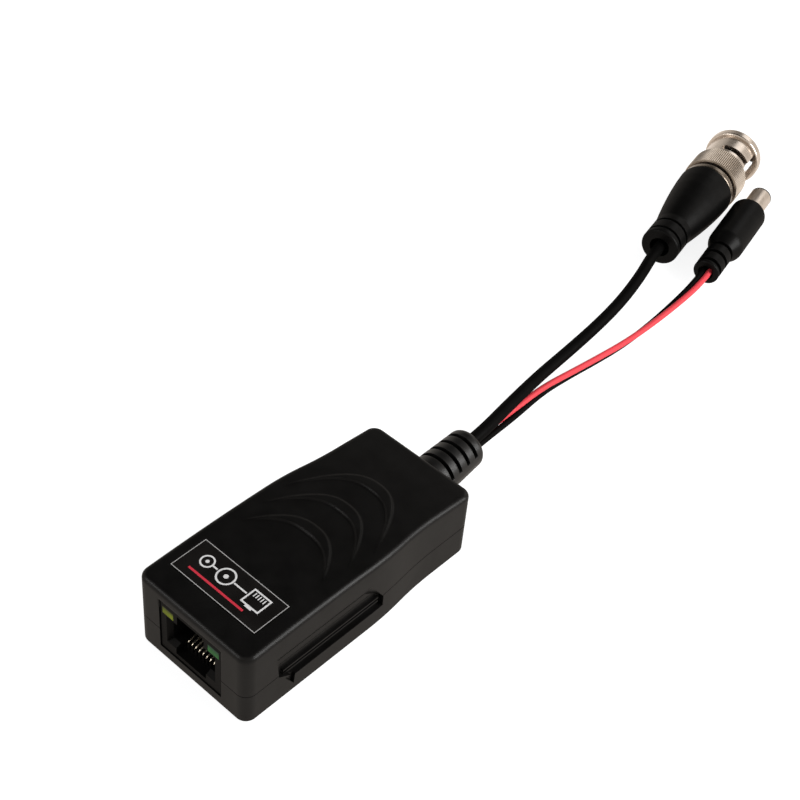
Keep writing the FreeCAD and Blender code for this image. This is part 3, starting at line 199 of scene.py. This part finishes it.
class Nodes:
    """Node tree of one material, with short calls for what the materials share."""

    def __init__(self, name):
        self.material = bpy.data.materials.new(name)
        self.material.use_nodes = True
        self.tree = self.material.node_tree
        self.shader = self.tree.nodes["Principled BSDF"]
        self.coordinate = self.tree.nodes.new("ShaderNodeTexCoord").outputs["Object"]

    def put(self, socket, value):
        """A number, colour or another node's output into a socket."""
        if isinstance(value, bpy.types.NodeSocket):
            self.tree.links.new(value, socket)
        else:
            socket.default_value = value

    def math(self, operation, first, second=0.0, third=0.0):
        node = self.tree.nodes.new("ShaderNodeMath")
        node.operation = operation
        for socket, value in zip(node.inputs, (first, second, third)):
            self.put(socket, value)
        return node.outputs[0]

    def mix(self, share, first, second):
        """Colour between two colours."""
        return self.mixed("RGBA", share, first, second)

    def mixed(self, kind, share, first, second):
        node = self.tree.nodes.new("ShaderNodeMix")
        node.data_type = kind
        sockets, result = mix_sockets(node, kind)
        for socket, value in zip(sockets, (share, first, second)):
            self.put(socket, value)
        return result

    def noise(self, scale, detail=3.0, stretch=(1, 1, 1)):
        """Noise between about 0.3 and 0.7, scale in waves a metre."""
        node = self.tree.nodes.new("ShaderNodeTexNoise")
        node.inputs["Scale"].default_value = scale
        node.inputs["Detail"].default_value = detail
        source = self.coordinate
        if stretch != (1, 1, 1):
            mapping = self.tree.nodes.new("ShaderNodeMapping")
            mapping.inputs["Scale"].default_value = stretch
            self.put(mapping.inputs["Vector"], source)
            source = mapping.outputs[0]
        self.put(node.inputs["Vector"], source)
        return node.outputs[0]

    def split(self):
        """The three object coordinates, in metres."""
        node = self.tree.nodes.new("ShaderNodeSeparateXYZ")
        self.put(node.inputs[0], self.coordinate)
        return node.outputs

    def between(self, value, low, high, start=0.0, end=1.0):
        """Number that runs from start at low to end at high."""
        node = self.tree.nodes.new("ShaderNodeMapRange")
        self.put(node.inputs["Value"], value)
        for name, number in (("From Min", low), ("From Max", high), ("To Min", start), ("To Max", end)):
            node.inputs[name].default_value = number
        return node.outputs[0]

    def spread(self, value, low, high):
        """Noise stretched to run from low to high."""
        return self.between(value, *NOISE_SPAN, low, high)

    def vector(self, operation, first, second, output):
        node = self.tree.nodes.new("ShaderNodeVectorMath")
        node.operation = operation
        self.put(node.inputs[0], first)
        self.put(node.inputs[1], second)
        return node.outputs[output]

    def station(self, piece, at, axis):
        """Distance along an axis and from it, in millimetres."""
        back = piece.matrix_world.inverted()
        line = (back.to_3x3() @ Vector(axis)).normalized()
        offset = self.vector("SUBTRACT", self.coordinate, back @ Vector(at), 0)
        along = self.vector("DOT_PRODUCT", offset, line, 1)
        aside = self.vector("CROSS_PRODUCT", offset, line, 0)
        away = self.math("SQRT", self.vector("DOT_PRODUCT", aside, aside, 1))
        return self.math("MULTIPLY", along, TO_MM), self.math("MULTIPLY", away, TO_MM)

    def shade(self, share, rgb):
        """Another base colour over the one that is there."""
        base = self.shader.inputs["Base Color"].links[0].from_socket
        self.put(self.shader.inputs["Base Color"], self.mix(share, base, plain_colour(rgb)))

    def above(self, level, low, high):
        """One vector above a level and another below it."""
        share = self.between(self.split()[2], level, level + SOFT_RISE)
        return self.mixed("VECTOR", share, low, high)

    def bump(self, height, depth, edge=0.0, level=None):
        """Bump of a height map, with its depth in metres, over edges softened by a radius.

        The gloss layer follows it above the level only.
        """
        node = self.tree.nodes.new("ShaderNodeBump")
        node.inputs["Distance"].default_value = depth
        self.put(node.inputs["Height"], height)
        if edge:
            soft = self.tree.nodes.new("ShaderNodeBevel")
            soft.samples = EDGE_SAMPLES
            soft.inputs["Radius"].default_value = edge
            self.put(node.inputs["Normal"], soft.outputs[0])
        self.put(self.shader.inputs["Normal"], node.outputs[0])
        if level is not None:
            flat = self.tree.nodes.new("ShaderNodeNewGeometry").outputs["Normal"]
            self.put(self.shader.inputs["Coat Normal"], self.above(level, flat, node.outputs[0]))


def plain_colour(rgb):
    return (*rgb, 1.0)


def surface(name, rgb, rough, grain=3000, grain_deep=0.00001, tint=0.2, metal=0.0, specular=0.5,
            stretch=(1, 1, 1), coat=0.0, coat_rough=0.03, rough_spread=0.25, patch=250, edge=0.0,
            level=None):
    """Material with grain, uneven gloss and slightly uneven colour."""
    made = Nodes(name)
    shader = made.shader
    broad = made.noise(patch, 4.0)
    fine = made.noise(grain, 3.0, stretch)
    dark = plain_colour([value * (1 - tint) for value in rgb])
    light = plain_colour([min(1.0, value * (1 + tint)) for value in rgb])
    made.put(shader.inputs["Base Color"], made.mix(made.spread(broad, 0, 1), dark, light))
    gloss = made.math("ADD", broad, made.math("MULTIPLY", fine, FINE_SHARE))
    gloss = made.math("MULTIPLY", gloss, 1 / (1 + FINE_SHARE))
    low, high = rough * (1 - rough_spread), rough * (1 + rough_spread)
    made.put(shader.inputs["Roughness"], made.spread(gloss, low, high))
    shader.inputs["Metallic"].default_value = metal
    shader.inputs["Specular IOR Level"].default_value = specular
    shader.inputs["Coat Weight"].default_value = coat
    shader.inputs["Coat Roughness"].default_value = coat_rough
    made.bump(fine, grain_deep, edge, level)
    return made


def dress(piece, material):
    """One material on a piece."""
    piece.data.materials.clear()
    piece.data.materials.append(material)


def label_print():
    """Black film with a silver border and a generic pictogram: jack, line, plugs and a red bar."""
    made = surface("label_print", (0.006, 0.0052, 0.0048), 0.32, grain=900, grain_deep=0.000003, tint=0.15,
                   specular=0.15)
    place = made.split()
    across, along = (made.math("MULTIPLY", made.math("SUBTRACT", place[index], LABEL_MIDDLE[index]), TO_MM)
                     for index in (0, 1))

    def box_distance(x, y, half_x, half_y):
        """Distance outside a rectangle, in millimetres, negative inside."""
        side = made.math("SUBTRACT", made.math("ABSOLUTE", made.math("SUBTRACT", across, x)), half_x)
        end = made.math("SUBTRACT", made.math("ABSOLUTE", made.math("SUBTRACT", along, y)), half_y)
        return made.math("MAXIMUM", side, end)

    def ring_distance(x, y, radius):
        """Distance outside a circle, in millimetres, negative inside."""
        side = made.math("SUBTRACT", across, x)
        end = made.math("SUBTRACT", along, y)
        square = made.math("ADD", made.math("MULTIPLY", side, side), made.math("MULTIPLY", end, end))
        return made.math("SUBTRACT", made.math("SQRT", square), radius)

    def filled(distance):
        return made.math("LESS_THAN", distance, 0.0)

    def outlined(distance, thick):
        return made.math("LESS_THAN", made.math("ABSOLUTE", distance), thick / 2)

    def together(*masks):
        total = masks[0]
        for mask in masks[1:]:
            total = made.math("MAXIMUM", total, mask)
        return total

    x, y, half_x, half_y = JACK_CONTACT
    contacts = [filled(box_distance(x + CONTACT_STEP * index, y, half_x, half_y)) for index in range(-2, 3)]
    rings = [outlined(ring_distance(*ring[:3]), ring[3]) for ring in RINGS]
    pins = [filled(ring_distance(*pin)) for pin in PINS]
    links = [filled(box_distance(*link)) for link in LINKS]
    jack = [outlined(box_distance(*JACK_OUTLINE), OUTLINE_LINE), filled(box_distance(*JACK_LATCH))]
    masks = {
        "white": together(*jack, *links, *rings, *pins, *contacts),
        "red": filled(box_distance(*RED_BAR)),
        "silver": outlined(box_distance(*LABEL_BORDER), BORDER_LINE),
    }
    uneven = made.spread(made.noise(1800, 4.0), 0, 1)
    base = made.shader.inputs["Base Color"].links[0].from_socket
    for name, mask in masks.items():
        rgb = INKS[name]
        shade = made.mix(uneven, plain_colour([value * INK_DARK for value in rgb]), plain_colour(rgb))
        base = made.mix(mask, base, shade)
    made.put(made.shader.inputs["Base Color"], base)
    return made.material


def nut_plate(plate):
    """Nickel with the knurl painted lighter and the grooves between its teeth painted darker, as light and shade
    on the teeth.
    """
    made = surface("knurled_nickel", *plate[0], **plate[1])
    along, away = made.station(nodes["bnc_coupling_nut"], BNC_AT, BNC_AXIS)
    groove_shade = made.between(away, KNURL_RADIUS, KNURL_RADIUS - KNURL_DEEP)
    on_knurl = made.math("MULTIPLY", made.math("LESS_THAN", along, KNURL_FRONT),
                         made.math("GREATER_THAN", away, KNURL_RADIUS - 2 * KNURL_DEEP))
    # Lighter colour over the knurl: painted light on the teeth.
    made.shade(on_knurl, (0.66, 0.58, 0.5))
    # Darker colour in the grooves between the teeth: painted shade.
    made.shade(made.math("MULTIPLY", groove_shade, on_knurl), (0.17, 0.14, 0.11))
    gloss = made.shader.inputs["Roughness"]
    made.put(gloss, made.math("MULTIPLY_ADD", on_knurl, KNURL_DULL, gloss.links[0].from_socket))
    return made


def barrel_plate(plate):
    """Bright barrel with the dark ring at its tip."""
    made = surface("ringed_nickel", *plate[0], **plate[1])
    along = made.station(nodes["dc_barrel"], DC_AT, DC_AXIS)[0]
    made.shade(made.math("GREATER_THAN", along, TIP_RING), (0.01, 0.01, 0.01))
    return made


def lens(name, rgb, top_shade):
    """Tinted light guide, with painted shade darkening it from its middle up to its top."""
    made = surface(name + "_lens", rgb, 0.4, grain=1500, patch=600, tint=0.4, specular=0.05)
    levels = [corner[2] for corner in nodes["indicator_" + name].bound_box]
    middle = (min(levels) + max(levels)) / 2
    # Darker colour from the middle of the light guide up to its top: painted shade.
    made.shade(made.between(made.split()[2], middle, max(levels)), top_shade)
    return made


def make_materials():
    """Every material by the name it is used under."""
    plate = ((0.5, 0.44, 0.385), 0.27), {"metal": 1.0, "grain": 5200, "tint": 0.07, "grain_deep": 0.000006,
                                         "patch": 500}
    bright = ((0.47, 0.41, 0.355), 0.36), {"metal": 1.0, "grain": 3000, "tint": 0.05, "grain_deep": 0.000003,
                                          "patch": 400}
    vinyl = {"rough": 0.5, "grain": 2600, "grain_deep": 0.000012, "tint": 0.25, "specular": 0.0,
             "coat_rough": 0.36, "edge": 0.0002, "level": -1.0}
    made = {
        "case": surface("case_plastic", (0.0036, 0.0034, 0.0032), 0.5, grain=3400, grain_deep=0.00001,
                        tint=0.25, specular=0.0, coat=0.27, coat_rough=0.32, edge=0.0007, level=RECESS_TOP),
        "jack": surface("jack_plastic", (0.003, 0.0028, 0.0026), 0.6, grain=2600, specular=0.0, coat=0.13,
                        coat_rough=0.4, edge=0.0001),
        # Each lens's second colour is the painted shade for its top.
        "yellow": lens("yellow", (0.12, 0.145, 0.003), (0.02, 0.022, 0.003)),
        "green": lens("green", (0.018, 0.09, 0.022), (0.012, 0.04, 0.022)),
        "gold": surface("contact_gold", (0.72, 0.66, 0.54), 0.26, grain=4000, metal=1.0, tint=0.08,
                        grain_deep=0.000002),
        "ferrite": surface("ferrite", (0.03, 0.03, 0.032), 0.55, grain=5000, grain_deep=0.00002),
        "copper": surface("enamelled_copper", (0.55, 0.2, 0.08), 0.25, metal=0.9, coat=0.6, grain=2000),
        "board": surface("solder_mask", (0.015, 0.12, 0.04), 0.3, grain=700, grain_deep=0.00001, coat=0.4),
        "ceramic": surface("glazed_ceramic", (0.7, 0.7, 0.72), 0.25, coat=0.5, tint=0.05),
        "resin": surface("dipped_resin", (0.65, 0.34, 0.04), 0.3, coat=0.4, grain=900, grain_deep=0.00003),
        "chip": surface("fired_chip", (0.02, 0.02, 0.022), 0.5),
        "braid": surface("tinned_braid", (0.7, 0.7, 0.68), 0.35, metal=1.0, grain=1600, grain_deep=0.00006,
                         stretch=(1, 0.2, 1)),
        "core": surface("core_insulation", (0.8, 0.8, 0.76), 0.45, tint=0.06),
        "red": surface("red_insulation", (0.6, 0.048, 0.06), 0.5, grain=2200, grain_deep=0.000008, tint=0.08,
                       specular=0.12, patch=120),
        "black": surface("black_insulation", (0.003, 0.0028, 0.0026), 0.5, grain=2200, tint=0.2, specular=0.0,
                         coat=0.05, coat_rough=0.35),
        "jacket": surface("coax_jacket", (0.0022, 0.0021, 0.002), 0.5, grain=2400, tint=0.25, specular=0.0,
                          coat=0.055, coat_rough=0.35),
        "vinyl": surface("moulded_vinyl", (0.0024, 0.0023, 0.0022), coat=0.14, **vinyl),
        "relief": surface("relief_vinyl", (0.0034, 0.0033, 0.0032), coat=0.5, **vinyl),
        "nickel": surface("nickel_plate", *plate[0], **plate[1]),
        "nut": nut_plate(plate),
        "turned": surface("turned_nickel", *bright[0], **bright[1]),
        "barrel": barrel_plate(bright),
        # Nickel darkened to stand in for the dark surroundings mirrored in the collar: painted dark reflection.
        "body": surface("shade_darkened_nickel", (0.15, 0.125, 0.1), 0.28, metal=1.0, grain=3000, tint=0.1,
                        grain_deep=0.000003, patch=400),
        "insulator": surface("white_insulator", (0.82, 0.82, 0.79), 0.4, tint=0.05),
        "ring": surface("dark_insulator", (0.02, 0.02, 0.02), 0.35),
        "seal": surface("seal_rubber", (0.02, 0.012, 0.01), 0.5),
    }
    return {key: nodes_made.material for key, nodes_made in made.items()}


NODE_LOOKS = {
    "top_cover": "case", "bottom_cover": "case", "circuit_board": "board", "jack_housing": "jack",
    "indicator_yellow": "yellow", "indicator_green": "green", "contact_carrier": "jack",
    "jack_contacts": "gold", "transformer_core": "ferrite", "primary_winding": "copper",
    "secondary_winding": "copper", "surge_arrester": "ceramic", "resettable_fuse": "resin",
    "chip_resistors": "chip", "coax_braid_tail": "braid", "coax_core_end": "core", "red_wire_end": "red",
    "black_wire_end": "black", "coax_lead": "jacket", "red_wire": "red", "black_wire": "black",
    "strain_relief": "relief", "bnc_boot": "vinyl", "dc_grip": "vinyl", "bnc_body": "body",
    "bnc_coupling_nut": "nut", "bnc_insulator": "insulator", "bnc_centre_pin": "gold",
    "bnc_spring_washer": "nickel", "bnc_sealing_ring": "seal", "dc_barrel": "barrel",
    "dc_insulator": "ring", "dc_inner_contact": "turned",
}


def make_leads(looks):
    """The three leads in place of their solids, each declared with what is on it."""
    coax = cord("coax_cord", COAX_ROUTE, COAX_THICK)
    red = cord("red_cord", RED_ROUTE, WIRE_THICK)
    black = cord("black_cord", BLACK_ROUTE, WIRE_THICK)
    for piece, node in ((coax, "coax_lead"), (red, "red_wire"), (black, "black_wire")):
        dress(piece, looks[NODE_LOOKS[node]])
        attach(piece, "balun")
        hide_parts(node)


def area_light(name, place, size, power):
    """Soft square lamp aimed at the part."""
    light = bpy.data.lights.new(name, "AREA")
    light.energy = power
    light.size = size
    lamp = bpy.data.objects.new(name, light)
    scene.collection.objects.link(lamp)
    lamp.location = place
    lamp.rotation_euler = (Vector(LAMP_AIM) - Vector(place)).to_track_quat("-Z", "Y").to_euler()


def seen_white(tree, inputs=("Is Camera Ray",)):
    """Share of white for the rays that see the background."""
    path = tree.nodes.new("ShaderNodeLightPath")
    total = path.outputs[inputs[0]]
    for name in inputs[1:]:
        node = tree.nodes.new("ShaderNodeMath")
        node.operation = "MAXIMUM"
        tree.links.new(total, node.inputs[0])
        tree.links.new(path.outputs[name], node.inputs[1])
        total = node.outputs[0]
    return total


def make_floor():
    """White floor that keeps a faint shadow."""
    mesh = bpy.data.meshes.new("floor")
    corners = [(x * FLOOR_REACH, y * FLOOR_REACH, 0) for x, y in ((-1, -1), (1, -1), (1, 1), (-1, 1))]
    mesh.from_pydata(corners, [], [(0, 1, 2, 3)])
    floor = bpy.data.objects.new("floor", mesh)
    scene.collection.objects.link(floor)
    floor.location.z = -FLOOR_DROP
    material = bpy.data.materials.new("floor_white")
    material.use_nodes = True
    tree = material.node_tree
    tree.nodes.clear()
    diffuse = tree.nodes.new("ShaderNodeBsdfDiffuse")
    diffuse.inputs[0].default_value = plain_colour([FLOOR_GREY] * 3)
    soft = tree.nodes.new("ShaderNodeBsdfDiffuse")
    soft.inputs[0].default_value = plain_colour([FLOOR_SHADE] * 3)
    tone = tree.nodes.new("ShaderNodeMix")
    tone.data_type = "RGBA"
    (share, direct, mirrored), tint = mix_sockets(tone, "RGBA")
    tree.links.new(seen_white(tree, ("Is Glossy Ray",)), share)
    direct.default_value = plain_colour(WHITE)
    mirrored.default_value = plain_colour(FLOOR_TINT)
    glow = tree.nodes.new("ShaderNodeEmission")
    glow.inputs[1].default_value = FLOOR_GLOW
    tree.links.new(tint, glow.inputs[0])
    both = tree.nodes.new("ShaderNodeAddShader")
    tree.links.new(soft.outputs[0], both.inputs[0])
    tree.links.new(glow.outputs[0], both.inputs[1])
    choose = tree.nodes.new("ShaderNodeMixShader")
    seen = seen_white(tree, ("Is Camera Ray", "Is Glossy Ray", "Is Transmission Ray"))
    tree.links.new(seen, choose.inputs[0])
    tree.links.new(diffuse.outputs[0], choose.inputs[1])
    tree.links.new(both.outputs[0], choose.inputs[2])
    out = tree.nodes.new("ShaderNodeOutputMaterial")
    tree.links.new(choose.outputs[0], out.inputs[0])
    mesh.materials.append(material)


def make_world():
    """Plain studio surroundings: white to the camera, and a soft gradient that surfaces reflect."""
    world = bpy.data.worlds.new("studio")
    scene.world = world
    world.use_nodes = True
    tree = world.node_tree
    tree.nodes.clear()
    coordinate = tree.nodes.new("ShaderNodeTexCoord")
    toward = tree.nodes.new("ShaderNodeVectorMath")
    toward.operation = "DOT_PRODUCT"
    tree.links.new(coordinate.outputs["Generated"], toward.inputs[0])
    toward.inputs[1].default_value = Vector(DARK_SIDE).normalized()
    ramp = tree.nodes.new("ShaderNodeMapRange")
    ramp.interpolation_type = "SMOOTHSTEP"
    tree.links.new(toward.outputs["Value"], ramp.inputs["Value"])
    for name, value in FADE.items():
        ramp.inputs[name].default_value = value
    light = tree.nodes.new("ShaderNodeBackground")
    light.inputs[0].default_value = plain_colour(SKY_TINT)
    light.inputs[1].default_value = SKY_LIGHT
    mirror = tree.nodes.new("ShaderNodeBackground")
    mirror.inputs[0].default_value = plain_colour(MIRROR_TINT)
    tree.links.new(ramp.outputs[0], mirror.inputs[1])
    white = tree.nodes.new("ShaderNodeBackground")
    white.inputs[0].default_value = plain_colour(WHITE)
    first = tree.nodes.new("ShaderNodeMixShader")
    tree.links.new(seen_white(tree, ("Is Glossy Ray", "Is Transmission Ray")), first.inputs[0])
    tree.links.new(light.outputs[0], first.inputs[1])
    tree.links.new(mirror.outputs[0], first.inputs[2])
    second = tree.nodes.new("ShaderNodeMixShader")
    tree.links.new(seen_white(tree), second.inputs[0])
    tree.links.new(first.outputs[0], second.inputs[1])
    tree.links.new(white.outputs[0], second.inputs[2])
    out = tree.nodes.new("ShaderNodeOutputWorld")
    tree.links.new(second.outputs[0], out.inputs[0])


make_camera()
looks = make_materials()
make_leads(looks)
for name, look in NODE_LOOKS.items():
    dress(nodes[name], looks[look])
dress(nodes["label"], label_print())
make_floor()
make_world()
for name, lamp in LAMPS.items():
    area_light(name, *lamp)
